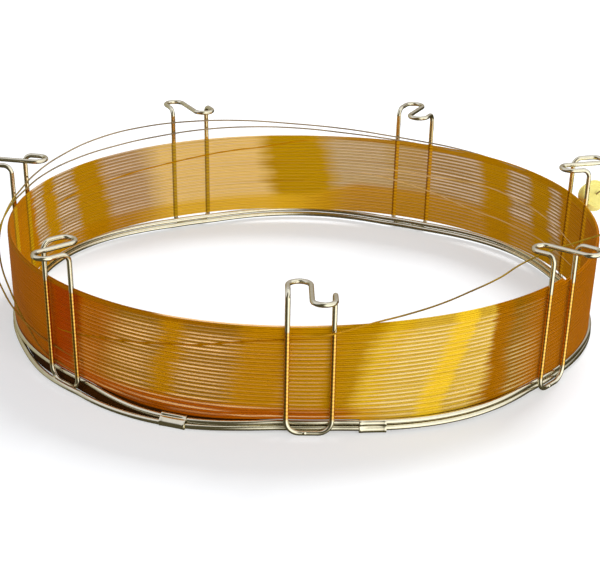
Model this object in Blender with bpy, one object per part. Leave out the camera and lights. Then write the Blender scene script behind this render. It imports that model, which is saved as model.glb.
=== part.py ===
"""Capillary column for gas chromatography, wound inside a flared cage of steel wire.

Two wire rings, clamped together by two crimped sleeves, carry seven bent wire posts. Each post
is one closed loop of wire: a round foot, two legs and a flat hook at the top. The long amber
tube is wound against the inside of the legs. A few turns have slipped out of the winding, and
both ends of the tube are stuck in a rubber plug.

Metres, +Z up. Azimuth 0 is the front (-Y) and grows towards +X.
"""
import math

import bmesh
import bpy
from mathutils import Matrix, Vector

# Driving dimensions.
CLEARANCE = 0.0003  # gap between pieces that touch
WIRE_SIDES = 8  # facets round a wire, with one flat side turned down
BEND_STEPS = 3  # straight pieces in a bend of a post

POST_COUNT = 7
POST_WIRE = 0.0014
POST_BASE_RADIUS = 0.0865  # cage's axis to the wire's centre line at the foot
POST_WIDTH = 0.0119  # between the centre lines of the two legs
POST_LEAN = 2.9  # degrees that the legs lean outwards
POST_HEIGHT = 0.0413  # floor to the top of the hook
POST_TURN = 1.5  # azimuth of the front post, in degrees
POST_DRIFT = (0.0, -0.2, 1.8, -0.4, -1.2, 0.4, 2.1)  # degrees off the even spacing
FOOT_BEND = 0.0036
SHOULDER_BEND = 0.0024
HOOK_INWARD = 0.0078  # leg to the farthest point of the inner bow
HOOK_OUTWARD = 0.0086  # leg to the farthest point of the outer bow

RING_WIRE = 0.0015
RING_STEPS = 10  # straight pieces of ring between two posts
RING_BOWS = (0.0039, 0.0010, 0.0021, 0.0031, 0.0023, 0.0008, 0.0035)  # after each post
RING_SWELL = 1.15  # power of the sine that a ring bows out by
SPRUNG_POST = 6  # the lower ring has sprung out past this post's foot
SPRUNG_BEFORE = 18.0  # degrees before that foot where it leaves the upper ring
SPRUNG_AFTER = (9.0, 23.3)  # degrees after that foot where it starts back and where it is back

SLEEVE_AZIMUTHS = {"ring_sleeve_left": 338.2, "ring_sleeve_right": 12.7}
SLEEVE_LENGTH = 0.0071
SLEEVE_WALL = 0.0002
SLEEVE_GAP = 0.00015  # between the sleeve and what it squeezes, and over the floor
SLEEVE_SIDES = 6  # facets on each round end of its section

TUBE = 0.0005  # outer diameter of the coated tube
TUBE_STEPS = 2  # straight pieces between two points of a strand
TURN_COUNT = 24
TURN_PITCH = 0.00106
TURN_LAYERS = 2
TURN_VALLEY = 0.00028  # depth of the valley between two turns
COIL_STEPS = 35
COIL_LIFT = 0.0012  # the turns lie looser at the right, so the winding is this much higher there
LIFT_AZIMUTH = 75.0
LIFT_REACH = 110.0  # degrees either way to where the lift ends
LIFT_FADE = 60.0  # degrees in which it fades

PLUG_DIAMETER = 0.0090
PLUG_THICKNESS = 0.0040
PLUG_EDGE = 0.0006
PLUG_SIDES = 20
PLUG_AZIMUTH = 106.3
PLUG_OUTSET = 0.0055  # legs' centre line to the middle of the plug
PLUG_RISE = 0.0004  # top of the winding to the middle of the plug
PLUG_FACING = 20.0  # azimuth that the plug's face looks to
PLUG_TILT = 35.0  # degrees that the plug's face looks up

# Worked out from the driving dimensions.
FLAT = math.cos(math.pi / WIRE_SIDES)  # centre to flat, for a wire of radius 1
LEAN = math.tan(math.radians(POST_LEAN))
FOOT_Z = POST_WIRE / 2 * FLAT
HOOK_Z = POST_HEIGHT - POST_WIRE / 2 * FLAT
SLEEVE_REACH = RING_WIRE / 2 + SLEEVE_GAP + SLEEVE_WALL  # from a ring's centre line
RING_PITCH = RING_WIRE * FLAT + CLEARANCE
LOWER_RING_Z = SLEEVE_GAP + SLEEVE_REACH
UPPER_RING_Z = LOWER_RING_Z + RING_PITCH
FOOT_SPAN = math.degrees((POST_WIDTH / 2 + POST_WIRE) / POST_BASE_RADIUS)
COIL_BOTTOM = UPPER_RING_Z + SLEEVE_REACH + SLEEVE_GAP
COIL_TOP = COIL_BOTTOM + TURN_COUNT * TURN_PITCH


def leg_radius(z):
    """Radius of the legs' centre line at a height."""
    return POST_BASE_RADIUS + (z - FOOT_Z) * LEAN


def coil_radius(z):
    """Radius of the winding's outer face at a height, just inside the legs."""
    return leg_radius(z) - POST_WIRE / 2 / math.cos(math.radians(POST_LEAN)) - CLEARANCE


def post_azimuth(index):
    """Azimuth of a post in degrees, counted round from the front one."""
    rounds, place = divmod(index, POST_COUNT)
    return rounds * 360 + POST_TURN + place * 360 / POST_COUNT + POST_DRIFT[place % len(POST_DRIFT)]


def at(azimuth, radius, z):
    """Point of the cage at an azimuth in degrees, a radius and a height."""
    angle = math.radians(azimuth)
    return Vector((radius * math.sin(angle), -radius * math.cos(angle), z))


def between(azimuth, middle):
    """Degrees from one azimuth to another, the short way round."""
    return (azimuth - middle + 180) % 360 - 180


def smooth(x):
    """Smooth step from 0 to 1."""
    x = min(max(x, 0.0), 1.0)
    return x * x * (3 - 2 * x)


def material(name, color, metallic, roughness):
    """Principled material with a plain finish."""
    finish = bpy.data.materials.new(name)
    finish.use_nodes = True
    shader = finish.node_tree.nodes["Principled BSDF"]
    shader.inputs["Base Color"].default_value = (*color, 1)
    shader.inputs["Metallic"].default_value = metallic
    shader.inputs["Roughness"].default_value = roughness
    finish.diffuse_color = (*color, 1)
    return finish


def add_object(name, body, finish, parent):
    """Turns a finished bmesh into a named object with one material, shaded smooth."""
    bmesh.ops.recalc_face_normals(body, faces=body.faces)
    mesh = bpy.data.meshes.new(name)
    body.to_mesh(mesh)
    body.free()
    mesh.materials.append(finish)
    mesh.shade_smooth()
    mesh.set_sharp_from_angle(angle=math.radians(50))
    piece = bpy.data.objects.new(name, mesh)
    piece.parent = parent
    bpy.context.collection.objects.link(piece)


def rounded_route(corners):
    """Points of a closed route, with each corner turned on its own bend radius.

    corners holds (point, bend radius) pairs. The route starts half way along its last side.
    """
    points = [(corners[-1][0] + corners[0][0]) / 2]
    for index, (corner, bend) in enumerate(corners):
        before = (corner - corners[index - 1][0]).normalized()
        after = (corners[(index + 1) % len(corners)][0] - corner).normalized()
        turn = before.angle(after)
        reach = bend * math.tan(turn / 2)
        inward = (after - before).normalized()
        centre = corner + inward * bend / math.cos(turn / 2)
        axis = before.cross(after).normalized()
        spoke = corner - before * reach - centre
        for step in range(BEND_STEPS + 1):
            point = centre + Matrix.Rotation(turn * step / BEND_STEPS, 3, axis) @ spoke
            if (point - points[-1]).length > bend / 100:
                points.append(point)
    return points


def smooth_route(knots):
    """Points of an open smooth curve through knots, which are Vectors."""
    points = []
    ends = [2 * knots[0] - knots[1]] + knots + [2 * knots[-1] - knots[-2]]
    for index in range(1, len(ends) - 2):
        a, b, c, d = ends[index - 1:index + 3]
        for step in range(TUBE_STEPS):
            t = step / TUBE_STEPS
            points.append(0.5 * (2 * b + (c - a) * t + (2 * a - 5 * b + 4 * c - d) * t ** 2
                                 + (3 * b - a - 3 * c + d) * t ** 3))
    return points + [knots[-1]]


def wire(route, diameter, closed):
    """Round wire with mitred joints along a route, whose first piece has one flat side down."""
    body = bmesh.new()
    count = len(route)
    ahead = [(route[(i + 1) % count] - route[i]).normalized() for i in range(count)]
    if not closed:
        ahead[-1] = ahead[-2]
    before = ahead[-1] if closed else ahead[0]
    up = Vector((0, 0, 1))
    side = (up - before * up.dot(before)).normalized()
    sections = []
    for index, point in enumerate(route):
        after = ahead[index]
        mitre = (before + after).normalized()
        across = before.cross(side)
        section = []
        for corner in range(WIRE_SIDES):
            angle = 2 * math.pi * (corner + 0.5) / WIRE_SIDES
            arm = (side * math.cos(angle) + across * math.sin(angle)) * diameter / 2
            arm -= before * arm.dot(mitre) / before.dot(mitre)
            section.append(body.verts.new(point + arm))
        sections.append(section)
        side = before.rotation_difference(after) @ side
        side = (side - after * side.dot(after)).normalized()
        before = after
    # Round a closed route the section comes back turned by whole facets, which the last joint takes up.
    turned = 0
    if closed:
        first = [vert.co - route[0] for vert in sections[0]]
        half = math.pi / WIRE_SIDES
        arm = side * math.cos(half) + before.cross(side) * math.sin(half)
        turned = max(range(WIRE_SIDES), key=lambda corner: first[corner].normalized().dot(arm))
    last = count if closed else count - 1
    for index in range(last):
        near = sections[index]
        far = sections[(index + 1) % count]
        shift = turned if index == count - 1 else 0
        for corner in range(WIRE_SIDES):
            follow = (corner + 1) % WIRE_SIDES
            body.faces.new((near[corner], near[follow], far[(follow + shift) % WIRE_SIDES],
                            far[(corner + shift) % WIRE_SIDES]))
    if not closed:
        body.faces.new(sections[0])
        body.faces.new(list(reversed(sections[-1])))
    return body


def make_posts(steel, parent):
    """The posts: foot, legs and flat hook bent from one wire, whose ends are welded at the foot."""
    half = POST_WIDTH / 2
    shoulder = (HOOK_Z - FOOT_Z) * LEAN
    inner = shoulder - HOOK_INWARD
    outer = shoulder + HOOK_OUTWARD
    bow = POST_WIDTH / 4
    corners = [
        ((-half, 0, FOOT_Z), FOOT_BEND),
        ((-half, shoulder, HOOK_Z), SHOULDER_BEND),
        ((-half, inner, HOOK_Z), bow),
        ((0, inner, HOOK_Z), bow),
        ((0, outer, HOOK_Z), bow),
        ((half, outer, HOOK_Z), bow),
        ((half, shoulder, HOOK_Z), SHOULDER_BEND),
        ((half, 0, FOOT_Z), FOOT_BEND),
    ]
    for index in range(POST_COUNT):
        azimuth = math.radians(post_azimuth(index))
        out = Vector((math.sin(azimuth), -math.cos(azimuth), 0))
        along = Vector((math.cos(azimuth), math.sin(azimuth), 0))
        placed = [(along * u + out * (POST_BASE_RADIUS + v) + Vector((0, 0, z)), bend)
                  for (u, v, z), bend in corners]
        body = wire(rounded_route(placed), POST_WIRE, closed=True)
        add_object(f"post_{index + 1}", body, steel, parent)


def ring_radius(azimuth, sprung):
    """Radius of a ring's centre line: it passes inside every foot and bows out between them."""
    seat = POST_BASE_RADIUS - POST_WIRE / 2 - CLEARANCE - RING_WIRE / 2
    index = 0
    while azimuth >= post_azimuth(index + 1):
        index += 1
    start = post_azimuth(index) + FOOT_SPAN
    end = post_azimuth(index + 1) - FOOT_SPAN
    share = min(max((azimuth - start) / (end - start), 0), 1)
    bow = RING_BOWS[index % len(RING_BOWS)] * abs(math.sin(math.pi * share)) ** RING_SWELL
    if sprung:
        past = between(azimuth, post_azimuth(SPRUNG_POST))
        leave, back = (FOOT_SPAN, SPRUNG_BEFORE) if past < 0 else SPRUNG_AFTER
        # Outside the foot the ring clears its wire and the ends of its straight run.
        outside = POST_WIRE + RING_WIRE + 2 * CLEARANCE + POST_WIDTH ** 2 / 8 / POST_BASE_RADIUS
        bow += outside * (1 - smooth((abs(past) - leave) / (back - leave)))
    return seat + bow


def sleeve_ends(name):
    """Azimuths of the two joints that hold a sleeve's straight piece of ring between them."""
    middle = SLEEVE_AZIMUTHS[name]
    reach = math.degrees((SLEEVE_LENGTH / 2 + CLEARANCE) / POST_BASE_RADIUS)
    return middle - reach, middle + reach


def make_rings(steel, parent):
    """The two rings, each one round of wire with its ends butted inside a sleeve."""
    joints = []
    for index in range(POST_COUNT):
        start = post_azimuth(index)
        span = post_azimuth(index + 1) - start
        joints += [start + span * step / RING_STEPS for step in range(RING_STEPS)]
    for name, middle in SLEEVE_AZIMUTHS.items():
        ends = sleeve_ends(name)
        joints = [azimuth for azimuth in joints if abs(between(azimuth, middle)) > ends[1] - middle]
        joints += ends
    joints.sort()
    for name, height, sprung in (("lower_ring", LOWER_RING_Z, True), ("upper_ring", UPPER_RING_Z, False)):
        route = [at(azimuth, ring_radius(azimuth, sprung), height) for azimuth in joints]
        add_object(name, wire(route, RING_WIRE, closed=True), steel, parent)


def sleeve_section(grow):
    """Outline of a sleeve, round each wire in turn, at a distance from the wires."""
    radius = RING_WIRE / 2 + grow
    outline = []
    for centre, first in ((RING_PITCH / 2, 0), (-RING_PITCH / 2, math.pi)):
        for step in range(SLEEVE_SIDES + 1):
            angle = first + math.pi * step / SLEEVE_SIDES
            outline.append((radius * math.cos(angle), centre + radius * math.sin(angle)))
    return outline


def make_sleeves(steel, parent):
    """The crimped sleeves: short flat tubes, each squeezed round a straight piece of both rings."""
    middle = (LOWER_RING_Z + UPPER_RING_Z) / 2
    for name in SLEEVE_AZIMUTHS:
        start, end = (at(azimuth, ring_radius(azimuth, False), middle) for azimuth in sleeve_ends(name))
        along = (end - start).normalized()
        across = along.cross(Vector((0, 0, 1)))
        body = bmesh.new()
        loops = []
        for reach in (-SLEEVE_LENGTH / 2, SLEEVE_LENGTH / 2):
            centre = (start + end) / 2 + along * reach
            for grow in (SLEEVE_GAP + SLEEVE_WALL, SLEEVE_GAP):
                loops.append([body.verts.new(centre + across * x + Vector((0, 0, z)))
                              for x, z in sleeve_section(grow)])
        count = len(loops[0])
        for one, other in ((0, 2), (2, 3), (3, 1), (1, 0)):
            for corner in range(count):
                follow = (corner + 1) % count
                body.faces.new((loops[one][corner], loops[one][follow],
                                loops[other][follow], loops[other][corner]))
        add_object(name, body, steel, parent)


def coil_lift(azimuth):
    """Extra height of the winding's top at an azimuth."""
    return COIL_LIFT * smooth((LIFT_REACH - abs(between(azimuth, LIFT_AZIMUTH))) / LIFT_FADE)


def make_coil(amber, parent):
    """The winding: a thin flared ring whose two faces are ribbed by the turns."""
    wall = TURN_LAYERS * TUBE
    outer = []
    inner = []
    for turn in range(TURN_COUNT):
        low = COIL_BOTTOM + turn * TURN_PITCH
        crest = low + TURN_PITCH / 2
        outer += [(coil_radius(low) - TURN_VALLEY, low), (coil_radius(crest), crest)]
        inner += [(coil_radius(low) - wall + TURN_VALLEY, low), (coil_radius(crest) - wall, crest)]
    outer.append((coil_radius(COIL_TOP) - TURN_VALLEY, COIL_TOP))
    inner.append((coil_radius(COIL_TOP) - wall + TURN_VALLEY, COIL_TOP))
    body = bmesh.new()
    profile = [body.verts.new((0, -radius, z)) for radius, z in outer + inner[::-1]]
    edges = [body.edges.new((profile[i - 1], profile[i])) for i in range(len(profile))]
    bmesh.ops.spin(body, geom=profile + edges, axis=(0, 0, 1), cent=(0, 0, 0), steps=COIL_STEPS,
                   angle=2 * math.pi, use_merge=True)
    for vert in body.verts:
        lift = coil_lift(math.degrees(math.atan2(vert.co.x, -vert.co.y)))
        lift *= (vert.co.z - COIL_BOTTOM) / (COIL_TOP - COIL_BOTTOM)
        stretch = 1 + lift * LEAN / math.hypot(vert.co.x, vert.co.y)
        vert.co = (vert.co.x * stretch, vert.co.y * stretch, vert.co.z + lift)
    bmesh.ops.triangulate(body, faces=body.faces)
    add_object("column_coil", body, amber, parent)


def tube_points(knots):
    """Vectors for (azimuth, outset from the winding's outer face, rise over its top) knots in mm."""
    points = []
    for azimuth, outset, rise in knots:
        z = COIL_TOP + rise / 1000
        points.append(at(azimuth, coil_radius(min(z, COIL_TOP)) + outset / 1000, z))
    return points


def make_loose_turns(amber, parent):
    """Two turns that have slipped up over the back of the winding and down outside its left."""
    high = [(146, -0.5, 1.5), (153, -0.5, 1.6), (161, -0.4, 2.0), (171, -0.3, 3.0), (184, -0.3, 4.3),
            (194, -0.2, 5.6), (206, -0.1, 6.7), (218, 0.0, 7.2), (230, 0.0, 6.9), (242, -0.1, 5.6),
            (253, -0.2, 4.2), (261, -0.2, 3.0), (268, 0.8, 1.4), (276, 2.3, -2.4), (284, 2.9, -7.0),
            (292, 2.3, -12.5), (299, 1.5, -18.5), (305, 0.8, -23.2)]
    low = [(162, -0.5, 1.0), (171, -0.5, 1.6), (181, -0.4, 2.6), (192, -0.3, 3.3), (203, -0.3, 3.5),
           (214, -0.3, 3.2), (226, -0.3, 2.9), (238, -0.3, 2.7), (250, -0.3, 2.3), (259, -0.2, 1.6),
           (266, 0.9, 0.4), (274, 3.2, -3.6), (283, 5.0, -8.4), (290, 4.0, -12.6), (296, 3.0, -15.6),
           (303, 1.7, -18.0), (306.6, 0.9, -19.0)]
    for name, knots in (("loose_turn_high", high), ("loose_turn_low", low)):
        add_object(name, wire(smooth_route(tube_points(knots)), TUBE, closed=False), amber, parent)


def make_ends(amber, parent, plug, facing):
    """The tube's two ends, from the winding to the two faces of the plug."""
    front = [(3.0, 0.7, -1.2), (5.6, 2.4, 0.2), (8.6, 2.0, 1.2), (12.3, 0.0, 1.7), (18.3, -4.1, 1.3),
             (27.0, -8.9, 0.8), (38.0, -13.5, 0.4), (49.0, -15.6, 0.2), (60.0, -16.4, 0.2),
             (69.0, -15.4, 0.4), (78.0, -12.6, 0.8), (86.0, -8.6, 1.3), (92.5, -4.2, 1.7),
             (96.5, -0.6, 2.0), (99.5, 2.6, 2.9)]
    back = [(122.0, 0.6, -2.6), (118.4, 1.7, -2.4)]
    face = PLUG_THICKNESS / 2 + CLEARANCE
    for name, knots, side in (("column_end_front", front, 1), ("column_end_back", back, -1)):
        points = tube_points(knots) + [plug + facing * side * reach for reach in (2 * face, face)]
        add_object(name, wire(smooth_route(points), TUBE, closed=False), amber, parent)


def make_plug(rubber, parent, plug, facing):
    """The rubber plug that seals the tube's two ends: a disc with rounded rims."""
    body = bmesh.new()
    bmesh.ops.create_cone(body, cap_ends=True, segments=PLUG_SIDES, radius1=PLUG_DIAMETER / 2,
                          radius2=PLUG_DIAMETER / 2, depth=PLUG_THICKNESS)
    rims = [edge for edge in body.edges
            if abs(edge.verts[0].co.z - edge.verts[1].co.z) < PLUG_THICKNESS / 2]
    bmesh.ops.bevel(body, geom=rims, offset=PLUG_EDGE, segments=2, affect="EDGES", profile=0.5)
    turn = facing.to_track_quat("Z", "Y").to_matrix().to_4x4()
    body.transform(Matrix.Translation(plug) @ turn)
    add_object("end_plug", body, rubber, parent)


def main():
    for old in list(bpy.data.objects):
        bpy.data.objects.remove(old, do_unlink=True)
    steel = material("steel", (0.55, 0.53, 0.47), 1.0, 0.18)
    amber = material("amber", (0.42, 0.20, 0.02), 0.0, 0.25)
    rubber = material("rubber", (0.85, 0.80, 0.35), 0.0, 0.6)
    cage = bpy.data.objects.new("cage_axis", None)
    bpy.context.collection.objects.link(cage)
    make_posts(steel, cage)
    make_rings(steel, cage)
    make_sleeves(steel, cage)
    make_coil(amber, cage)
    make_loose_turns(amber, cage)
    plug = at(PLUG_AZIMUTH, leg_radius(COIL_TOP) + PLUG_OUTSET, COIL_TOP + PLUG_RISE)
    tilt = math.radians(PLUG_TILT)
    facing = at(PLUG_FACING, math.cos(tilt), math.sin(tilt))
    make_ends(amber, cage, plug, facing)
    make_plug(rubber, cage, plug, facing)
    # The origin lies under the middle of the outline, which the odd number of posts sets off the axis.
    corners = [vert.co for piece in cage.children for vert in piece.data.vertices]
    for side in (0, 1):
        values = [corner[side] for corner in corners]
        cage.location[side] = -(min(values) + max(values)) / 2
    bpy.context.view_layer.update()


main()
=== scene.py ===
import math

import bpy
from mathutils import Matrix, Vector


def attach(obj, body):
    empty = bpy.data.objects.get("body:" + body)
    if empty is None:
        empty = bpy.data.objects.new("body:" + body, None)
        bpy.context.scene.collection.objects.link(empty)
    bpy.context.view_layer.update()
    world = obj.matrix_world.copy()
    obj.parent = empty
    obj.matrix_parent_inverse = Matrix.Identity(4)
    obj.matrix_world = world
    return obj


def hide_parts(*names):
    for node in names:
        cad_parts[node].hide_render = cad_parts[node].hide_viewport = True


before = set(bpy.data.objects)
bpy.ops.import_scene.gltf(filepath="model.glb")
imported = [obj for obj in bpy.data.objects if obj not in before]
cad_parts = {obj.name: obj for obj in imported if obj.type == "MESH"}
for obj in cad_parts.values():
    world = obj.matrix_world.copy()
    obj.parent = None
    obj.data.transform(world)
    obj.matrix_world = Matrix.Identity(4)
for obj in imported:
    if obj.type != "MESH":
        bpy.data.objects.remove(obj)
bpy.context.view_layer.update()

# The camera looks at the cage from in front and about 21 degrees above, on a long lens.
# The cage's axis stands a little off the origin, which lies under the middle of the outline.
AXIS = Vector((0.001097, 0.003610, 0))
EYE = AXIS + Vector((-0.0005, -0.5258, 0.2106))
TARGET = AXIS + Vector((-0.0005, -0.0340, 0.0200))
ROLL = math.radians(1.15)

bpy.ops.object.camera_add(location=EYE)
camera = bpy.context.object
look = (TARGET - EYE).to_track_quat("-Z", "Y").to_matrix()
camera.rotation_euler = (look @ Matrix.Rotation(ROLL, 3, "Z")).to_euler()
camera.data.lens = 112.4
camera.data.sensor_width = 36
camera.data.shift_x = -0.0009
camera.data.shift_y = 0.0070
camera.data.clip_start = 0.01
bpy.context.scene.camera = camera
bpy.context.scene.view_settings.view_transform = "Standard"


# The posts are bent from bright stainless steel wire, one closed loop each: a round foot, two
# legs that lean outwards, and a flat hook with an S bend. The ends are welded under the foot.
POST_COUNT = 7
POST_WIRE = 0.0014
POST_BASE_RADIUS = 0.0865
POST_WIDTH = 0.0119
POST_HEIGHT = 0.0413
POST_TURN = 1.5
POST_DRIFT = (0.0, -0.2, 1.8, -0.4, -1.2, 0.4, 2.1)
FOOT_BEND = 0.0036
SHOULDER_BEND = 0.0024
HOOK_INWARD = 0.0078
HOOK_OUTWARD = 0.0086
BEND_STEPS = 10
WIRE_SIDES = 12
WELD_RADIUS = 0.00062
LEAN = math.tan(math.radians(2.9))
TURN_PITCH = 0.00106


class Socket:
    """A shader socket that takes Python's arithmetic and adds the Math nodes it needs."""

    def __init__(self, finish, socket):
        self.finish = finish
        self.socket = socket

    def math(self, operation, *values):
        return self.finish.node("Math", {"operation": operation}, dict(enumerate(values)))

    def __add__(self, other):
        return self.math("ADD", self, other)

    __radd__ = __add__

    def __sub__(self, other):
        return self.math("SUBTRACT", self, other)

    def __rsub__(self, other):
        return self.math("SUBTRACT", other, self)

    def __mul__(self, other):
        return self.math("MULTIPLY", self, other)

    __rmul__ = __mul__

    def __truediv__(self, other):
        return self.math("DIVIDE", self, other)

    def __rtruediv__(self, other):
        return self.math("DIVIDE", other, self)

    def lowest(self, other):
        return self.math("MINIMUM", self, other)

    def highest(self, other):
        return self.math("MAXIMUM", self, other)

    def angle_from(self, other):
        """Angle whose tangent is this over the other."""
        return self.math("ARCTAN2", self, other)

    def size(self):
        return self.math("ABSOLUTE", self)

    def wave(self):
        return self.math("SINE", self)

    def between(self, low, high):
        """0 below low, 1 above high, smooth in between."""
        return self.finish.node("MapRange", {"interpolation_type": "SMOOTHSTEP"},
                                {"Value": self, "From Min": low, "From Max": high})


class Finish:
    """A material, with one method that adds any node to it."""

    def __init__(self, name):
        self.material = bpy.data.materials.new(name)
        self.material.use_nodes = True
        self.tree = self.material.node_tree
        self.surface = self.tree.nodes["Principled BSDF"]

    def plug(self, socket, value):
        if isinstance(value, Socket):
            self.tree.links.new(value.socket, socket)
        else:
            socket.default_value = value

    def node(self, kind, settings=None, sockets=None, output=0):
        node = self.tree.nodes.new("ShaderNode" + kind)
        for name, value in (settings or {}).items():
            if name == "stops":
                stops = node.color_ramp.elements
                for stop, (place, color) in zip((stops[0], stops[1]), (value[0], value[-1])):
                    stop.position = place
                    stop.color = (*color, 1)
                for place, color in value[1:-1]:
                    stops.new(place).color = (*color, 1)
            else:
                setattr(node, name, value)
        for name, value in (sockets or {}).items():
            self.plug(node.inputs[name], value)
        return Socket(self, node.outputs[output])

    def place(self):
        """Object coordinates, and then X, Y and Z apart."""
        place = self.node("TexCoord", output=3)
        split = self.node("SeparateXYZ", {}, {0: place}).socket.node
        return place, *(Socket(self, output) for output in split.outputs)

    def mix(self, factor, one, other):
        """A colour between two others."""
        one, other = (value if isinstance(value, Socket) else (*value, 1) for value in (one, other))
        return self.node("Mix", {"data_type": "RGBA"}, {0: factor, 6: one, 7: other}, output=2)

    def coat(self, **sockets):
        """Sets the surface's own sockets, named with _ for a space."""
        for name, value in sockets.items():
            self.plug(self.surface.inputs[name.replace("_", " ")], value)


def post_azimuth(index):
    rounds, place = divmod(index, POST_COUNT)
    return rounds * 360 + POST_TURN + place * 360 / POST_COUNT + POST_DRIFT[place]


def at(azimuth, radius, z):
    """Point of the cage at an azimuth in degrees, a radius and a height."""
    angle = math.radians(azimuth)
    return Vector((radius * math.sin(angle), -radius * math.cos(angle), z))


def only(piece):
    """Leaves just this piece selected and active."""
    bpy.ops.object.select_all(action="DESELECT")
    piece.select_set(True)
    bpy.context.view_layer.objects.active = piece


def pick(piece, test):
    """Selects the piece's vertices that pass a test, and opens it for editing."""
    only(piece)
    bpy.ops.object.mode_set(mode="EDIT")
    bpy.ops.mesh.select_mode(type="VERT")
    bpy.ops.mesh.select_all(action="DESELECT")
    bpy.ops.object.mode_set(mode="OBJECT")
    for vert in piece.data.vertices:
        vert.select = test(vert.co)
    bpy.ops.object.mode_set(mode="EDIT")


def tube_along(piece, thickness, sides):
    """Turns a drawn line into round wire of a thickness."""
    only(piece)
    if piece.type == "MESH":
        bpy.ops.object.convert(target="CURVE")
    line = bpy.context.object.data
    line.dimensions = "3D"
    line.bevel_depth = thickness / 2
    line.bevel_resolution = (sides - 4) // 2
    line.use_fill_caps = True
    bpy.ops.object.convert(target="MESH")
    bpy.ops.object.mode_set(mode="EDIT")
    bpy.ops.mesh.select_all(action="SELECT")
    bpy.ops.mesh.remove_doubles(threshold=0.000001)
    bpy.ops.mesh.normals_make_consistent(inside=False)
    bpy.ops.object.mode_set(mode="OBJECT")
    return bpy.context.object


def settle(piece, name, finish, node, sharp=50):
    """Sets a finished piece into the cage, with its place in its mesh."""
    only(piece)
    piece.matrix_world = Matrix.Translation(AXIS) @ piece.matrix_world
    bpy.ops.object.transform_apply(location=True, rotation=True, scale=True)
    bpy.ops.object.shade_smooth_by_angle(angle=math.radians(sharp))
    piece.name = name
    piece.data.materials.clear()
    piece.data.materials.append(finish.material)
    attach(piece, "root")
    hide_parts(node)


steel = Finish("bright_drawn_steel")
place, _, depth, height = steel.place()
haze = steel.node("TexNoise", {}, {"Vector": place, "Scale": 900.0, "Detail": 4.0})
drawn = steel.node("TexNoise", {}, {"Vector": place, "Scale": 5200.0, "Detail": 2.0})
# Beside the winding the legs take a painted reflection of its gold, with a painted bright glint
# for each turn. Those at the back get a painted warm light from it.
beside = height.between(0.0040, 0.0054) * (1 - height.between(0.0292, 0.0300))
turn_glints = (height * (2 * math.pi / TURN_PITCH)).wave().between(-0.6, 0.6)
gold_reflection = steel.mix(turn_glints, (0.72, 0.34, 0.01), (0.98, 0.56, 0.03))
bare_steel_and_warm_light = steel.mix(haze, (0.72, 0.68, 0.54), (0.92, 0.89, 0.77))
at_back = depth.between(0.0, 0.04)
on_legs = height.between(0.0054, 0.0060) * (1 - height.between(0.036, 0.040))
bare_steel_and_warm_light = steel.mix(at_back * on_legs * 0.6, bare_steel_and_warm_light, (0.74, 0.54, 0.18))
steel.coat(Base_Color=steel.mix(beside * 0.85, bare_steel_and_warm_light, gold_reflection),
           Metallic=1.0,
           Roughness=haze * 0.10 + 0.10,
           Specular_Tint=(0.60, 0.52, 0.34, 1),
           Normal=steel.node("Bump", {}, {"Height": drawn, "Strength": 0.04,
                                          "Distance": 0.00005}))

half = POST_WIDTH / 2
foot_z = POST_WIRE / 2
hook_z = POST_HEIGHT - POST_WIRE / 2
shoulder = (hook_z - foot_z) * LEAN
bow = POST_WIDTH / 4
inner = shoulder - HOOK_INWARD
outer = shoulder + HOOK_OUTWARD
corners = [(-half, 0, foot_z), (-half, -shoulder, hook_z), (-half, -inner, hook_z),
           (0, -inner, hook_z), (0, -outer, hook_z), (half, -outer, hook_z),
           (half, -shoulder, hook_z), (half, 0, foot_z)]


def on_hook(spot, *reaches):
    """Whether a corner of the flat hook lies as far out as one of these reaches."""
    close = 1e-6
    return spot.z > hook_z - close and min(abs(spot.y + reach) for reach in reaches) < close


bpy.ops.mesh.primitive_circle_add(vertices=len(corners), radius=half, fill_type="NOTHING")
pattern = bpy.context.object
for vert, corner in zip(pattern.data.vertices, corners):
    vert.co = corner
for bend, test in ((FOOT_BEND, lambda spot: spot.z < hook_z / 2),
                   (SHOULDER_BEND, lambda spot: on_hook(spot, shoulder)),
                   (bow, lambda spot: on_hook(spot, inner, outer))):
    pick(pattern, test)
    bpy.ops.mesh.bevel(offset=bend, segments=BEND_STEPS, affect="VERTICES", clamp_overlap=False)
    bpy.ops.mesh.select_all(action="SELECT")
    bpy.ops.mesh.remove_doubles(threshold=0.00001)
    bpy.ops.object.mode_set(mode="OBJECT")
pattern = tube_along(pattern, POST_WIRE, WIRE_SIDES)
# The weld that closes the loop has left a small bead on the foot.
bpy.ops.mesh.primitive_uv_sphere_add(segments=16, ring_count=10, radius=WELD_RADIUS,
                                     location=(-0.0011, -0.00022, foot_z + 0.0001))
bpy.context.object.scale = (1.3, 1.0, 0.95)
pattern.select_set(True)
bpy.context.view_layer.objects.active = pattern
bpy.ops.object.join()
for index in range(POST_COUNT):
    only(pattern)
    bpy.ops.object.duplicate()
    post = bpy.context.object
    turn = Matrix.Rotation(math.radians(post_azimuth(index)), 4, "Z")
    post.matrix_world = turn @ Matrix.Translation((0, -POST_BASE_RADIUS, 0))
    settle(post, f"bent_post_{index + 1}", steel, f"post_{index + 1}")
bpy.data.objects.remove(pattern)


# The two rings are rounds of slightly thicker steel wire that lie inside the posts' feet. They
# bow out between the posts, and the lower one has sprung out past the foot at the left front.
RING_WIRE = 0.0015
RING_LOWER_Z = 0.00125
RING_UPPER_Z = 0.002936
RING_STEPS = 288
# How far the rings bow out between one post and the next, and how much the upper one dips in the
# last span, where the rings lean over.
RING_BOWS = (0.0027, 0.0010, 0.0021, 0.0031, 0.0023, 0.0008, 0.0035)
RING_DIPS = (0.0, 0.0, 0.0, 0.0, 0.0, 0.0, 0.0009)
BOW_POWER = 1.15
FOOT_SPAN = math.degrees((POST_WIDTH / 2 + POST_WIRE) / POST_BASE_RADIUS)
GAP = 0.0003
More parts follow.
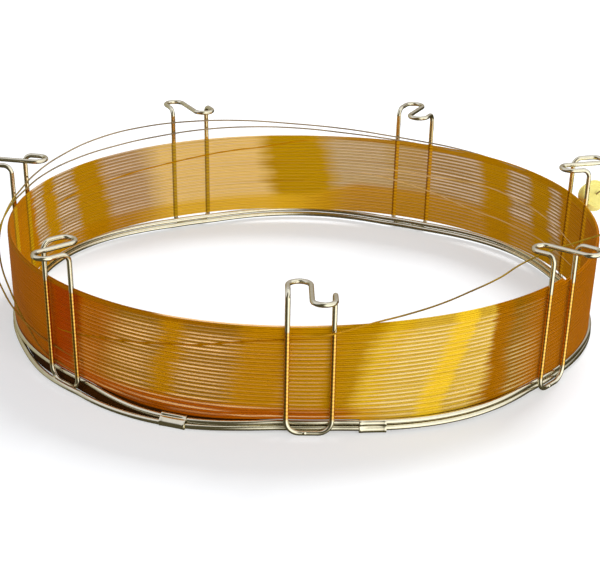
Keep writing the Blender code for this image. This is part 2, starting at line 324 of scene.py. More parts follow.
# How far the sprung part of the lower ring stands out, as (azimuth, millimetres). It has dropped
# a little there.
SPRUNG_DROP = 0.0004
SPRUNG = ((-90, 0.0), (-76, 0.0), (-70.6, 0.15), (-67, 0.45), (-62, 1.15),
          (-58, 2.0), (-54, 2.9), (-50.4, 3.2), (-46.7, 3.2), (-42, 3.35),
          (-39, 3.15), (-36.4, 2.9), (-34, 2.6), (-29.7, 2.05), (-24, 1.4),
          (-20, 1.1), (-15, 0.65), (-10, 0.25), (-5, 0.0), (0, 0.0))


def smooth(x):
    x = min(max(x, 0.0), 1.0)
    return x * x * (3 - 2 * x)


def sprung_out(azimuth):
    """How far the lower ring stands out of its round, evened out over a few degrees."""
    total = 0
    for spot in (azimuth - 2.5, azimuth, azimuth + 2.5):
        spot = (spot + 180) % 360 - 180
        for (start, one), (end, other) in zip(SPRUNG, SPRUNG[1:]):
            if start <= spot < end:
                total += one + (other - one) * (spot - start) / (end - start)
    return total / 3000


def span_share(azimuth):
    """The post before an azimuth, and the share of the way from its foot to the next one's."""
    azimuth = (azimuth - POST_TURN) % 360 + POST_TURN
    index = max(i for i in range(POST_COUNT) if post_azimuth(i) <= azimuth + 1e-9)
    start = post_azimuth(index) + FOOT_SPAN
    end = post_azimuth(index + 1) - FOOT_SPAN
    return index, min(max((azimuth - start) / (end - start), 0), 1)


def ring_spot(azimuth, lower):
    """Point of a ring's centre line."""
    index, share = span_share(azimuth)
    swell = abs(math.sin(math.pi * share)) ** BOW_POWER
    radius = POST_BASE_RADIUS - POST_WIRE / 2 - GAP - RING_WIRE / 2 + RING_BOWS[index] * swell
    if lower:
        radius += sprung_out(azimuth)
        height = RING_LOWER_Z - SPRUNG_DROP * smooth(sprung_out(azimuth) / 0.0014)
    else:
        height = RING_UPPER_Z - RING_DIPS[index] * swell
    return at(azimuth, radius, height)


for name, node, lower in (("floor_ring", "lower_ring", True), ("seat_ring", "upper_ring", False)):
    bpy.ops.mesh.primitive_circle_add(vertices=RING_STEPS, radius=POST_BASE_RADIUS,
                                      fill_type="NOTHING")
    ring = bpy.context.object
    for vert in ring.data.vertices:
        vert.co = ring_spot(math.degrees(math.atan2(vert.co.x, -vert.co.y)), lower)
    settle(tube_along(ring, RING_WIRE, WIRE_SIDES), name, steel, node)


# Two short sleeves of thin steel tube are squeezed flat round both rings and hold them together.
# The crimping tool has left each pinched at its middle, with its mouths a little wider.
SLEEVE_LENGTH = 0.0071
SLEEVE_RADIUS = 0.0011
SLEEVE_WALL = 0.0002
SLEEVE_STEPS = 12
SLEEVE_CORNERS = 64
CREASE_DEPTH = 0.34
CREASE_HEIGHT = 0.00045
for side, azimuth, hang, crease_z in (("left", 338.2, 0.0002, 0.0007),
                                      ("right", 12.7, 0.0005, 0.0001)):
    reach = math.degrees(SLEEVE_LENGTH / 2 / POST_BASE_RADIUS)
    start, end = ([ring_spot(azimuth + off, lower) for lower in (True, False)]
                  for off in (-reach, reach))
    along = (end[0] + end[1] - start[0] - start[1]).normalized()
    stack = (start[1] + end[1] - start[0] - end[0]) / 2
    flat = stack.length / 2
    lap = 2 * math.pi * SLEEVE_RADIUS + 4 * flat
    bpy.ops.mesh.primitive_circle_add(vertices=SLEEVE_CORNERS, radius=SLEEVE_RADIUS,
                                      fill_type="NOTHING")
    sleeve = bpy.context.object
    for index, vert in enumerate(sleeve.data.vertices):
        gone = lap * index / SLEEVE_CORNERS
        half_lap = gone >= lap / 2
        gone -= lap / 2 if half_lap else 0
        turn = max(gone - 2 * flat, 0) / SLEEVE_RADIUS
        y = -SLEEVE_RADIUS * math.cos(turn)
        z = min(gone, 2 * flat) - flat + SLEEVE_RADIUS * math.sin(turn)
        vert.co = (-SLEEVE_LENGTH / 2, -y, -z) if half_lap else (-SLEEVE_LENGTH / 2, y, z)
    pick(sleeve, lambda spot: True)
    for step in range(SLEEVE_STEPS):
        bpy.ops.mesh.extrude_region_move(
            TRANSFORM_OT_translate={"value": (SLEEVE_LENGTH / SLEEVE_STEPS, 0, 0)})
    bpy.ops.object.mode_set(mode="OBJECT")
    for vert in sleeve.data.vertices:
        from_middle = abs(vert.co.x) / (SLEEVE_LENGTH / 2)
        crease = math.exp(-((vert.co.z - crease_z) / CREASE_HEIGHT) ** 2)
        flare = from_middle ** 6
        vert.co.y *= 1 - CREASE_DEPTH * crease * (1 - 0.6 * from_middle ** 4)
        vert.co.y *= 0.94 + 0.08 * flare
        vert.co.z *= 0.98 + 0.03 * flare
    pick(sleeve, lambda spot: True)
    bpy.ops.mesh.normals_make_consistent(inside=False)
    bpy.ops.object.mode_set(mode="OBJECT")
    wall = sleeve.modifiers.new("wall", "SOLIDIFY")
    wall.thickness = SLEEVE_WALL
    wall.offset = -1
    rims = sleeve.modifiers.new("rims", "BEVEL")
    rims.width = 0.00007
    rims.segments = 2
    for modifier in ("wall", "rims"):
        bpy.ops.object.modifier_apply(modifier=modifier)
    up = stack.normalized()
    inward = up.cross(along).normalized()
    middle = (start[0] + start[1] + end[0] + end[1]) / 4 - inward * hang
    stance = Matrix((along, inward, up)).transposed().to_4x4()
    sleeve.matrix_world = Matrix.Translation(middle) @ stance
    settle(sleeve, f"{side}_sleeve", steel, f"ring_sleeve_{side}")


# The column is about fifty metres of fused silica tube, half a millimetre thick in its amber
# polyimide coat, wound in two layers against the inside of the legs. Some turns lie proud and
# others sink between them, and the light between them is painted on the sunk turns as pale lines.
TUBE = 0.0005
COIL_BOTTOM = 0.004136
TURN_COUNT = 24
COIL_TOP = COIL_BOTTOM + TURN_COUNT * TURN_PITCH
TURN_STEPS = 144
TURN_SIDES = 10
START_AZIMUTH = 55
STEP_UP = 60 / 360
WAVER = 0.00005
CLOSE_LAY = 0.000015
# The top is lifted round this azimuth, where the turns lie looser.
LIFT = 0.0012
LIFT_AZIMUTH = 75
# How far the lowest turns hang down between one post and the next.
COIL_SAGS = (0.0013, 0.0004, 0.0, 0.0, 0.0, 0.0003, 0.0019)


def coil_radius(z):
    """Radius of the winding's outer face at a height, just inside the legs."""
    leg = POST_BASE_RADIUS + (z - POST_WIRE / 2 * math.cos(math.pi / 8)) * LEAN
    return leg - POST_WIRE / 2 - GAP


def coil_lift(azimuth):
    """Extra height of the winding's top at its right."""
    return LIFT * smooth((110 - abs((azimuth - LIFT_AZIMUTH + 180) % 360 - 180)) / 60)


def coil_sag(azimuth, rise):
    """How far the turns hang down towards the rings, less and less up to 9 mm."""
    index, share = span_share(azimuth)
    fading = max(1 - rise / 0.009, 0) ** 2
    return COIL_SAGS[index] * math.sin(math.pi * share) ** BOW_POWER * fading


def turn_level(turns):
    """Turns climbed: each turn lies level and steps up to the next at the cage's right."""
    whole = math.floor(turns)
    return max(whole - 1 + smooth((turns - whole) / STEP_UP), 0)


MIDDLE_RISE = 0.0127
amber = Finish("amber_polyimide_coat")
place, across, depth, height = amber.place()
across = across - AXIS.x
depth = depth - AXIS.y
rise = height - COIL_BOTTOM
near = 1 - depth.between(-0.016, 0.012)
azimuth = across.angle_from(0 - depth)
from_back = across.angle_from(depth)
sunk = amber.node("Attribute", {"attribute_name": "sunk"}, output=2)
inside = amber.node("Attribute", {"attribute_name": "inside"}, output=2)
drift = amber.node("TexNoise", {}, {"Vector": place, "Scale": 45.0, "Detail": 4.0,
                                    "Roughness": 0.6})
turns = amber.node("CombineXYZ", {}, {0: azimuth * 1.2, 1: height * 950.0, 2: 0.0})
turn_tone = amber.node("TexNoise", {}, {"Vector": turns, "Scale": 1.0, "Detail": 2.0})
stagger = (drift - 0.5) * 0.10 + (turn_tone - 0.5) * 0.08
slant = across.between(0.005, 0.030) * 2.6 - across.between(0.044, 0.052) * 4.5 + 2.4
near_share = (azimuth + stagger - (rise - MIDDLE_RISE) * slant) / math.pi + 0.5
far_share = (from_back + stagger + (rise - MIDDLE_RISE) * 2.2) / math.pi + 0.5
gold = (0.43, 0.185, 0.0)
honey = (0.43, 0.20, 0.0)
wheat = (0.46, 0.22, 0.0)
bright = (0.82, 0.53, 0.02)
beige = (0.60, 0.37, 0.03)
peach = (0.76, 0.50, 0.14)
tawny = (0.34, 0.097, 0.0)
copper = (0.38, 0.125, 0.0)
russet = (0.36, 0.13, 0.0)
orange = (0.37, 0.104, 0.0)
deep = (0.33, 0.045, 0.0)
umber = (0.27, 0.115, 0.002)
dusk = (0.33, 0.185, 0.045)
# Tones round the near and the far half as (degrees, tone), partly the coat's own colour and partly
# painted light and shade that make some zones brighter and others darker, and how much painted
# light shows between the turns there.
near_zones = ((-90, tawny), (-62, tawny), (-55, orange), (-50.5, deep), (-46, deep),
              (-43.5, orange), (-38.5, tawny), (-33.5, umber), (-28, umber),
              (-26, gold), (-23.5, gold), (-21.5, umber), (-14, umber), (-10, gold),
              (-2, gold), (0, honey), (5, honey), (10, (0.45, 0.225, 0.0)),
              (12.5, (0.66, 0.40, 0.01)), (15, (0.62, 0.36, 0.01)), (17, beige),
              (22.5, beige), (24.5, bright), (28, bright), (29.5, beige),
              (34.5, beige), (36, russet), (39, russet), (41, umber), (47, copper),
              (60, (0.38, 0.12, 0.0)), (90, tawny))
near_lines = ((-90, 0.0), (-58, 0.0), (-50, 0.0), (-45, 0.05), (-43, 0.5), (-40, 0.5),
              (-37.0, 0.4), (-33, 0.95), (-29, 0.9), (-25.8, 0.05), (-23.8, 0.05),
              (-21, 0.9), (-15, 0.8), (-10, 0.1), (-4, 0.06), (-1.5, 0.28), (4.5, 0.28),
              (6, 0.02), (10, 0.05), (13, 0.4), (17, 0.75), (22.5, 0.8), (25, 0.12),
              (28, 0.15), (30, 0.75), (34.5, 0.8), (36.5, 0.0), (39, 0.03), (41.5, 0.5),
              (45, 0.4), (49, 0.04), (90, 0.0))
far_zones = ((-90, copper), (-75, (0.42, 0.165, 0.0)), (-74, dusk), (-70.5, dusk),
             (-69.5, wheat), (-65.5, wheat), (-64, dusk), (-59, dusk), (-57.5, wheat),
             (-50, wheat), (-47, (0.38, 0.21, 0.07)), (-39, (0.40, 0.23, 0.08)),
             (-33, peach), (-10, peach), (-6.5, (0.48, 0.26, 0.0)),
             (4, (0.48, 0.26, 0.0)), (8.5, (0.47, 0.32, 0.13)),
             (19, (0.45, 0.30, 0.12)), (22, (0.44, 0.27, 0.07)),
             (29, (0.42, 0.24, 0.06)), (32, dusk), (42.5, dusk), (44.5, wheat),
             (50.5, wheat), (52.5, dusk), (58.5, dusk), (60, wheat), (65.5, wheat),
             (67, dusk), (69.5, dusk), (71, (0.43, 0.18, 0.0)), (90, copper))
far_lines = ((-90, 0.0), (-75.5, 0.0), (-73.5, 0.9), (-71, 0.9), (-69, 0.02),
             (-66, 0.02), (-63.5, 1.0), (-59.5, 1.0), (-57, 0.02), (-50.5, 0.02),
             (-47, 0.75), (-40, 0.65), (-33, 0.35), (-10.5, 0.3), (-6.5, 0.03),
             (4, 0.03), (8.5, 0.4), (19, 0.45), (22, 0.35), (29, 0.4), (31, 0.8),
             (42.5, 0.95), (44.7, 0.02), (50.5, 0.02), (53, 1.0), (58, 1.0),
             (60.2, 0.02), (65.5, 0.02), (67.3, 1.0), (69.2, 1.0), (71, 0.02),
             (90, 0.02))


def round_the_cage(table, share):
    """Ramp of a table of (degrees, tone or number) over the share of a half round."""
    stops = [((degrees + 90) / 180, value if isinstance(value, tuple) else (value,) * 3)
             for degrees, value in table]
    return amber.node("ValToRGB", {"stops": stops}, {0: share})


near_body = round_the_cage(near_zones, near_share)
far_body = round_the_cage(far_zones, far_share)
near_amount = round_the_cage(near_lines, near_share)
far_amount = round_the_cage(far_lines, far_share)
# The lowest turns of the near side are redder, with pale lines of painted light between them, and
# those of the far side are plain gold. Under the rim a few pale lines of painted light show again.
left = azimuth.between(-1.05, -0.75) * (1 - azimuth.between(0.0, 0.35))
low = 1 - rise.between(0.0016, 0.0042)
every_other = (height * (math.pi / TURN_PITCH) + 0.6).wave().between(-0.4, 0.7)
near_body = amber.mix(low * left * 0.85, near_body, (0.36, 0.065, 0.0))
foot_shade = (1 - rise.between(-0.0006, 0.0012)) * (1 - azimuth.between(-0.75, -0.2))
near_body = amber.mix(foot_shade * 0.75, near_body, (0.12, 0.018, 0.0))
near_amount = near_amount * (1 - low * left * 0.7)
near_amount = near_amount.highest(low * left * every_other * 0.75)
for fading in (rise.between(0.0215, 0.0235) * (1 - azimuth.between(0.05, 0.25)) * 0.8,
               rise.between(0.0130, 0.0180) * azimuth.between(0.62, 0.70) * 0.7,
               rise.between(0.0100, 0.0140) * (1 - azimuth.between(-0.68, -0.62)) * 0.65):
    near_amount = near_amount * (1 - fading)
rim = rise.between(0.0242, 0.0248)
rim_pale = azimuth.between(-0.48, -0.40) * (1 - azimuth.between(0.02, 0.16))
rim_left = rim * (1 - azimuth.between(-0.30, -0.20))
near_body = amber.mix(rim_left * 0.8, near_body, (0.30, 0.105, 0.0))
near_amount = near_amount * (1 - rim) + rim * rim_pale * inside
far_rise = rise - across.between(0.0, 0.02) * 0.0048
far_low = 1 - far_rise.between(0.0035, 0.0065)
low_tone = amber.mix(across.between(-0.01, 0.02), (0.74, 0.43, 0.02), (0.48, 0.22, 0.002))
low_tone = amber.mix(across.between(-0.06, -0.04), (0.46, 0.20, 0.0), low_tone)
far_body = amber.mix(far_low * 0.9 * (1 - across.between(0.070, 0.082)), far_body, low_tone)
far_amount = far_amount * (1 - far_low * 0.8)
far_rim = rise.between(0.0244, 0.0249) * from_back.between(0.0, 0.2)
far_body = amber.mix(far_rim * 0.85, far_body, (0.42, 0.185, 0.0))
far_amount = far_amount * (1 - far_rim)
body = amber.mix(near, far_body, near_body)
amount = near_amount * near + far_amount * (1 - near)
# The pale tones are painted light between the turns, which the sunk turns take where the tables
# give some.
near_pale = amber.mix(azimuth.between(-0.70, -0.45), (0.78, 0.39, 0.12), (0.90, 0.56, 0.25))
near_pale = amber.mix(azimuth.between(0.05, 0.25), near_pale, (0.90, 0.70, 0.31))
pale = amber.mix(near, (0.76, 0.58, 0.42), near_pale)
color = amber.mix(turn_tone.between(0.5, 0.8) * 0.3, body, (0.27, 0.09, 0.0))
color = amber.mix(amount * sunk * (0.55 + turn_tone.between(0.38, 0.58) * 0.45), color, pale)
# Where a post stands behind the far side, it is painted on the inner turns as a golden line of
# painted highlight with a dark left edge of painted shade.
for behind, half_width in ((98.2, 1.4), (107.3, 1.0), (150.8, 0.55), (158.8, 0.52),
                           (-157.4, 0.53), (-149.4, 0.55), (-101.4, 1.25), (-91.4, 2.2)):
    aside = (azimuth * (180 / math.pi) - behind) / half_width
    stripe = (1 - aside.size().between(0.8, 1.15)) * inside
    dark, light = (((0.16, 0.045, 0.0), (0.60, 0.28, 0.003)) if behind > 0 else
                   ((0.20, 0.095, 0.003), (0.48, 0.27, 0.003)))
    shade = (aside.between(0.0, 0.7) + sunk * 0.35).lowest(1.0)
    color = amber.mix(stripe * 0.92, color, amber.mix(shade, light, dark))
# The coat glows a little with painted light in its own colour, standing in for light that comes
# through it; its base colour is a quarter darker to make up for that.
amber.coat(Base_Color=amber.mix(0.25, color, (0, 0, 0)),
           Emission_Color=color,
           Emission_Strength=0.22,
           Roughness=turn_tone * 0.12 + 0.30,
           Specular_IOR_Level=0.015,
           IOR=1.45)

for name, start, inset, sink, layer in (("winding_outer_proud", 0.27, 0.25, 0.0, 0.0),
                                        ("winding_outer_deep", 0.80, 0.30, 1.0, 0.0),
                                        ("winding_inner_proud", 0.54, 0.75, 0.0, 1.0),
                                        ("winding_inner_deep", 1.07, 0.71, 1.0, 1.0)):
    base = COIL_BOTTOM + start / 1000
    radius = coil_radius(base) - inset / 1000
    bpy.ops.mesh.primitive_circle_add(vertices=TURN_SIDES, radius=TUBE / 2 + CLOSE_LAY,
                                      fill_type="NOTHING", location=(radius, 0, base),
                                      rotation=(math.radians(90), 0, 0))
    winding = bpy.context.object
    bpy.ops.object.transform_apply(location=True, rotation=True)
    screw = winding.modifiers.new("turns", "SCREW")
    screw.axis = "Z"
    screw.iterations = TURN_COUNT
    screw.screw_offset = TURN_PITCH
    screw.steps = TURN_STEPS
    screw.render_steps = TURN_STEPS
    screw.use_merge_vertices = False
    bpy.ops.object.modifier_apply(modifier="turns")
    for vert in winding.data.vertices:
        spot = vert.co
        round_share = (math.atan2(spot.y, spot.x) / (2 * math.pi)) % 1
        turns = round((spot.z - base) / TURN_PITCH - round_share) + round_share
        climb = TURN_PITCH * (turn_level(turns) - turns)
        bearing = START_AZIMUTH + 360 * round_share
        climb += WAVER * (math.sin(13.1 * turns + start) + 0.6 * math.sin(29.7 * turns + 2 * start))
        climb += coil_lift(bearing) * (spot.z + climb - COIL_BOTTOM) / (COIL_TOP - COIL_BOTTOM)
        climb -= coil_sag(bearing, spot.z + climb - COIL_BOTTOM)
        length = math.hypot(spot.x, spot.y)
        stretch = 1 + (spot.z + climb - base) * LEAN / length
        spot.x *= stretch
        spot.y *= stretch
        spot.z += climb
    pick(winding, lambda spot: True)
    bpy.ops.mesh.fill_holes(sides=TURN_SIDES)
    bpy.ops.mesh.select_all(action="SELECT")
    bpy.ops.mesh.normals_make_consistent(inside=False)
    bpy.ops.object.mode_set(mode="OBJECT")
    for label, value in (("sunk", sink), ("inside", layer)):
        mark = winding.data.attributes.new(label, "FLOAT", "POINT")
        mark.data.foreach_set("value", [value] * len(winding.data.vertices))
    winding.matrix_world = Matrix.Rotation(math.radians(START_AZIMUTH - 90), 4, "Z")
    settle(winding, name, amber, "column_coil")


# A few turns have slipped out of the winding: two pass over its back and down outside its left,
# and the tube's two ends leave it at the front and at the right back. They are the same tube.
def strand_points(knots):
    """Points for (azimuth, outset from the winding's outer face, rise over its top) knots in mm."""
    points = []
    for azimuth, outset, rise in knots:
        z = COIL_TOP + rise / 1000
        points.append(at(azimuth, coil_radius(min(z, COIL_TOP)) + outset / 1000, z))
    return points


STRAND_SIDES = 8
KNOT_STEPS = 8
PLUG_THICKNESS = 0.0040
PLUG_MIDDLE = at(106.3, POST_BASE_RADIUS + (COIL_TOP - 0.000647) * LEAN + 0.0055,
                 COIL_TOP + 0.0004)
PLUG_FACING = at(20.0, math.cos(math.radians(35)), math.sin(math.radians(35)))
face = PLUG_FACING * (PLUG_THICKNESS / 2 - 0.0002)
straight = PLUG_FACING * 0.0046
strands = {
    "loose_turn_high": strand_points([
        (124, -0.5, 0.9), (136, -0.5, 1.1), (146, -0.5, 1.5), (153, -0.5, 1.6), (161, -0.4, 2.0),
        (171, -0.3, 3.0), (184, -0.3, 4.3), (194, -0.2, 5.6), (206, -0.1, 6.7), (218, 0.0, 7.2),
        (230, 0.0, 6.9), (242, -0.1, 5.6), (253, -0.2, 4.2), (261, -0.2, 3.0), (268, 0.8, 1.4),
        (276, 2.3, -2.4), (284, 2.9, -7.0), (292, 2.3, -12.5), (299, 1.5, -18.5),
        (305, 0.8, -23.2), (311, -0.1, -24.3), (317, -0.3, -24.6)]),
    "loose_turn_low": strand_points([
        (142, -0.5, 0.7), (153, -0.5, 0.6), (162, -0.5, 1.0), (171, -0.5, 1.6), (181, -0.4, 2.6),
        (192, -0.3, 3.3), (203, -0.3, 3.5), (214, -0.3, 3.2), (226, -0.3, 2.9), (238, -0.3, 2.7),
        (250, -0.3, 2.3), (259, -0.2, 1.6), (266, 0.9, 0.4), (274, 3.2, -3.6), (283, 5.0, -8.4),
        (290, 4.0, -12.6), (296, 3.0, -15.6), (303, 1.7, -18.0), (306.6, 0.9, -19.0),
        (311, -0.1, -20.0), (317, -0.3, -20.4)]),
    "column_end_front": strand_points([
        (-3.5, -0.5, -1.4), (0.0, -0.4, -1.4), (3.0, 0.7, -1.2), (5.6, 2.4, 0.2), (8.6, 2.0, 1.2),
        (12.3, 0.0, 1.7), (18.3, -4.1, 1.3), (27.0, -8.9, 0.8), (38.0, -13.5, 0.4),
        (49.0, -15.6, 0.2), (60.0, -16.2, 0.3), (68.0, -12.2, 1.3), (75.0, -4.6, 2.4),
        (80.5, 2.0, 3.0), (86.5, 5.2, 3.6), (93.0, 6.0, 4.2), (99.0, 5.6, 4.0)])
        + [PLUG_MIDDLE + straight, PLUG_MIDDLE + face],
    "column_end_back": strand_points([
        (131.0, -0.3, -3.0), (126.5, 0.0, -2.9), (122.0, 0.6, -2.6), (118.4, 1.7, -2.4)])
        + [PLUG_MIDDLE - straight, PLUG_MIDDLE - face],
}
# Four turns lie across the others, one on the outside at the front left and three on the inside.
crossings = {
    "crossing_turn_front": strand_points([
        (-52, -0.4, -14.2), (-48, -0.2, -13.5), (-44.2, -0.1, -12.7), (-38.6, -0.08, -11.1),
        (-33.4, -0.08, -9.9), (-27.0, -0.08, -8.5), (-23.1, -0.08, -7.5), (-18.4, -0.08, -6.6),
        (-13.0, -0.08, -4.9), (-7.8, -0.08, -3.6), (-2.8, -0.1, -2.8), (3.0, -0.3, -2.3),
        (8.0, -0.5, -2.0)]),
    "crossing_turn_left": strand_points([
        (252, -0.6, -9.0), (246, -0.75, -8.7), (239.7, -0.92, -8.4), (231.5, -0.92, -7.9),
        (224.4, -0.92, -7.5), (217.9, -0.92, -7.0), (210, -0.92, -6.2), (200.5, -0.92, -4.9),
        (194.8, -0.92, -4.2), (189.8, -0.92, -3.7), (185.7, -0.92, -2.8), (181.1, -0.85, -1.7),
        (176, -0.7, -1.3), (171, -0.6, -1.2)]),
    "crossing_turn_right": strand_points([
        (163, -0.6, -9.5), (157, -0.8, -9.6), (150.2, -0.92, -9.7), (142.7, -0.92, -9.0),
        (135.4, -0.92, -8.6), (128.5, -0.92, -9.2), (120.4, -0.92, -10.2), (114.1, -0.92, -11.3),
        (108.6, -0.85, -12.5), (101, -0.6, -14.0)]),
    "crossing_turn_low": strand_points([
        (168, -0.6, -11.6), (163, -0.8, -12.2), (159.1, -0.92, -12.9), (149.9, -0.92, -15.0),
        (139.7, -0.92, -17.6), (130.8, -0.92, -18.2), (119.4, -0.92, -18.7), (110, -0.8, -19.4),
        (102, -0.6, -20.0)]),
}
# At the front some of the inner turns have slipped down inside the rings, where little light
# comes, and their finish paints them dark there as shade. They are splayed there most, and pile up
# on each other, as (azimuth, splay, fall).
SLIPPED_TURNS = 12
slip_route = (
    (-108, 0.1, -0.4), (-98, 0.0, 0.1), (-88, 0.0, 0.7), (-80, 0.0, 1.0), (-71, 0.05, 1.0),
    (-65, 0.25, 1.0), (-59, 0.42, 1.0), (-53, 0.42, 1.0), (-46, 0.42, 1.0), (-41, 0.62, 1.0),
    (-34, 1.0, 1.0), (-27, 0.95, 1.0), (-20, 0.55, 1.0), (-12, 0.1, 1.0), (-4, 0.0, 1.0),
    (8, 0.0, 1.0), (22, 0.0, 1.0), (36, 0.0, 1.0), (48, 0.0, 0.8), (58, 0.0, 0.1), (68, 0.1, -0.4))
for level in range(SLIPPED_TURNS):
    spread = 0.34 * (SLIPPED_TURNS - 1 - level)
    drop = 3.87 - 0.322 * level
    crossings[f"slipped_turn_{level + 1}"] = strand_points([
        (azimuth, spread * splay - 1.85, -25.4 - drop * fall)
        for azimuth, splay, fall in slip_route])
single = Finish("amber_coat_single_tube")
place, across, depth, _ = single.place()
cloud = single.node("TexNoise", {}, {"Vector": place, "Scale": 60.0, "Detail": 3.0})
# The front strand has painted light where it crosses the front post, which makes it golden there,
# and it is brown at the far left.
in_front = 1 - depth.between(-0.05, -0.02)
golden = in_front * across.between(-0.02, 0.0) * (1 - across.between(0.014, 0.028))
brown = in_front * (1 - across.between(-0.06, -0.04))
thin = single.mix(cloud.between(0.35, 0.65), (0.19, 0.135, 0.07), (0.32, 0.235, 0.13))
front = single.mix(cloud.between(0.35, 0.65), (0.17, 0.10, 0.004), (0.30, 0.19, 0.010))
thin = single.mix(depth.between(0.0, 0.04), front, thin)
thin = single.mix(brown, thin, (0.22, 0.085, 0.008))
single.coat(Base_Color=single.mix(golden, thin, (0.40, 0.19, 0.006)),
            Roughness=cloud * 0.1 + 0.2,
            Specular_IOR_Level=0.06,
            IOR=1.45)
crossing = Finish("amber_coat_crossing_tube")
_, across, depth, height = crossing.place()
inner = crossing.mix(across.between(0.0, 0.02), (0.44, 0.19, 0.0), (0.55, 0.34, 0.12))
# Low down at the front these turns are painted dark as shade, darkest at the left; higher up at the
# front they are dark brown.
outer_tone_and_shade = crossing.mix(across.between(-0.02, 0.03), (0.045, 0.014, 0.002), (0.16, 0.075, 0.004))
outer_tone_and_shade = crossing.mix(height.between(0.0040, 0.0060), outer_tone_and_shade, (0.29, 0.105, 0.0))
crossing.coat(Base_Color=crossing.mix(depth.between(-0.01, 0.01), outer_tone_and_shade, inner),
              Roughness=0.35,
              Specular_IOR_Level=0.02,
              IOR=1.45)
for node, points in {**strands, **crossings}.items():
    bpy.ops.object.select_all(action="DESELECT")
    bpy.ops.curve.primitive_bezier_curve_add()
    strand = bpy.context.object
    line = strand.data.splines[0].bezier_points
    line.add(len(points) - 2)
    for knot, point in zip(line, points):
        knot.co = point
        knot.handle_left_type = "AUTO"
        knot.handle_right_type = "AUTO"
    strand.data.resolution_u = KNOT_STEPS
    strand = tube_along(strand, TUBE, STRAND_SIDES)
    if node in strands:
        settle(strand, "strand_" + node, single, node)
    else:
        settle(strand, node, crossing, "column_coil")


# The plug is a small moulded disc of pale yellow rubber that seals both ends of the tube, which
# are pushed into its two faces.
PLUG_DIAMETER = 0.0090
PLUG_RIM = 0.0011
PLUG_HOLLOW = 0.0003
rubber = Finish("pale_yellow_rubber")
place = rubber.node("TexCoord", output=3)
grain = rubber.node("TexNoise", {}, {"Vector": place, "Scale": 1500.0, "Detail": 4.0})
bloom = rubber.node("TexNoise", {}, {"Vector": place, "Scale": 240.0, "Detail": 3.0})
rubber.coat(Base_Color=rubber.mix(bloom, (0.80, 0.66, 0.12), (0.95, 0.88, 0.32)),
            Roughness=grain * 0.2 + 0.45,
            Normal=rubber.node("Bump", {}, {"Height": grain, "Strength": 0.2, "Distance": 0.0001}))
bpy.ops.object.select_all(action="DESELECT")
bpy.ops.mesh.primitive_cylinder_add(vertices=48, radius=PLUG_DIAMETER / 2, depth=PLUG_THICKNESS)
plug = bpy.context.object
pick(plug, lambda spot: True)
bpy.ops.mesh.select_mode(type="FACE")
bpy.ops.mesh.select_all(action="DESELECT")
bpy.ops.object.mode_set(mode="OBJECT")
for polygon in plug.data.polygons:
    polygon.select = abs(polygon.normal.z) > 0.9
bpy.ops.object.mode_set(mode="EDIT")
bpy.ops.mesh.inset(thickness=PLUG_RIM)
bpy.ops.mesh.inset(thickness=0.0002, depth=-PLUG_HOLLOW)
bpy.ops.object.mode_set(mode="OBJECT")
rims = plug.modifiers.new("rims", "BEVEL")
rims.width = 0.0004
rims.segments = 4
bpy.ops.object.modifier_apply(modifier="rims")
stance = PLUG_FACING.to_track_quat("Z", "Y").to_matrix().to_4x4()
plug.matrix_world = Matrix.Translation(PLUG_MIDDLE) @ stance
settle(plug, "rubber_end_plug", rubber, "end_plug", sharp=40)


# The floor is a wide white sheet that keeps the cage's soft shadow. To the camera, and through
# clear pieces, it shows partly as its own white, as an evenly lit studio sheet does.
OWN_WHITE = 0.42
paper = Finish("white_sheet")
path = paper.node("LightPath")
seen = Socket(paper, path.socket.node.outputs["Is Camera Ray"])
through = Socket(paper, path.socket.node.outputs["Is Transmission Ray"])
paper.coat(Base_Color=(0.925, 0.945, 0.97, 1), Roughness=0.9)
glow = paper.node("Emission", {}, {"Color": (1, 1, 1, 1), "Strength": 1.0})
sheet = paper.node("MixShader", {}, {0: seen.highest(through) * OWN_WHITE,
                                     1: Socket(paper, paper.surface.outputs[0]), 2: glow})
paper.plug(paper.tree.nodes["Material Output"].inputs["Surface"], sheet)
bpy.ops.object.select_all(action="DESELECT")
bpy.ops.mesh.primitive_plane_add(size=12)
floor = bpy.context.object
floor.name = "studio_floor"
floor.data.materials.append(paper.material)
floor.visible_glossy = False

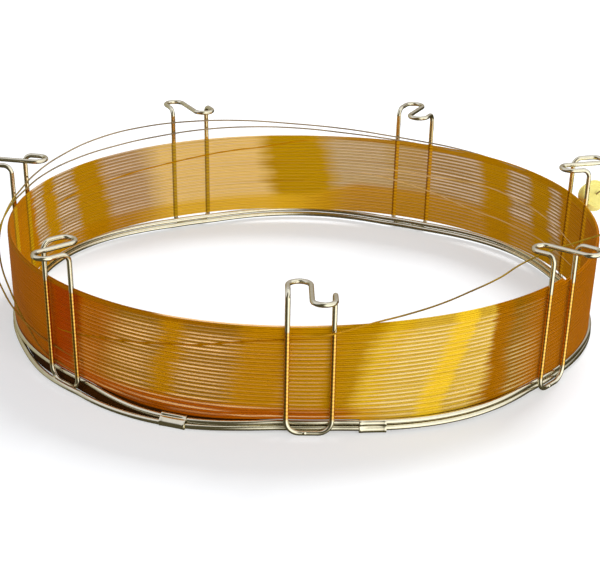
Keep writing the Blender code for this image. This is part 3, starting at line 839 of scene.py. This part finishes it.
# The room is plain and pale. The wires mirror it as a dim room with a bright window at the front
# right and a soft light overhead, which gives them their dark and bright streaks.
PLAIN_ROOM = (0.39, 0.395, 0.41)
DIM_ROOM = (0.085, 0.075, 0.040)
room = bpy.data.worlds.new("studio")
bpy.context.scene.world = room
room.use_nodes = True
nodes = room.node_tree.nodes
links = room.node_tree.links
direction = nodes.new("ShaderNodeTexCoord")
path = nodes.new("ShaderNodeLightPath")
background = nodes["Background"]
background.inputs["Strength"].default_value = 1.0
mirrored = None
for aim, low, high, tone in (((0.77, -0.64, 0.0), 0.5, 0.85, (1.5, 1.45, 1.25)),
                             ((0.0, 0.0, 1.0), 0.88, 0.97, (1.0, 1.0, 0.94)),
                             ((-0.75, 0.10, 0.65), 0.66, 0.86, (0.80, 0.79, 0.80)),
                             ((0.75, -0.10, 0.65), 0.64, 0.86, (1.05, 1.04, 0.98)),
                             ((0.0, 0.90, 0.43), 0.62, 0.85, (0.60, 0.58, 0.60)),
                             ((-0.80, 0.60, 0.0), 0.75, 0.9, (0.50, 0.48, 0.38))):
    along = nodes.new("ShaderNodeVectorMath")
    along.operation = "DOT_PRODUCT"
    along.inputs[1].default_value = aim
    links.new(direction.outputs["Generated"], along.inputs[0])
    edge = nodes.new("ShaderNodeMapRange")
    edge.interpolation_type = "SMOOTHSTEP"
    edge.inputs["From Min"].default_value = low
    edge.inputs["From Max"].default_value = high
    links.new(along.outputs["Value"], edge.inputs["Value"])
    lit = nodes.new("ShaderNodeMix")
    lit.data_type = "RGBA"
    lit.inputs[7].default_value = (*tone, 1)
    if mirrored is None:
        lit.inputs[6].default_value = (*DIM_ROOM, 1)
    else:
        links.new(mirrored, lit.inputs[6])
    links.new(edge.outputs["Result"], lit.inputs[0])
    mirrored = lit.outputs[2]
pick_view = nodes.new("ShaderNodeMix")
pick_view.data_type = "RGBA"
pick_view.inputs[6].default_value = (*PLAIN_ROOM, 1)
links.new(path.outputs["Is Glossy Ray"], pick_view.inputs[0])
links.new(mirrored, pick_view.inputs[7])
links.new(pick_view.outputs[2], background.inputs["Color"])

for name, spot, size, power in (("key", (0.35, 0.75, 0.85), (0.5, 0.5), 16.0),
                                ("front", (0.45, -1.15, 0.42), (0.9, 0.5), 10.5),
                                ("left", (-1.1, -0.35, 0.5), (0.5, 0.5), 3.3)):
    bpy.ops.object.light_add(type="AREA", location=spot)
    lamp = bpy.context.object
    lamp.name = "lamp_" + name
    lamp.data.shape = "RECTANGLE"
    lamp.data.size, lamp.data.size_y = size
    lamp.data.energy = power
    lamp.visible_glossy = False
    lamp.rotation_euler = (-Vector(spot)).to_track_quat("-Z", "Y").to_euler()
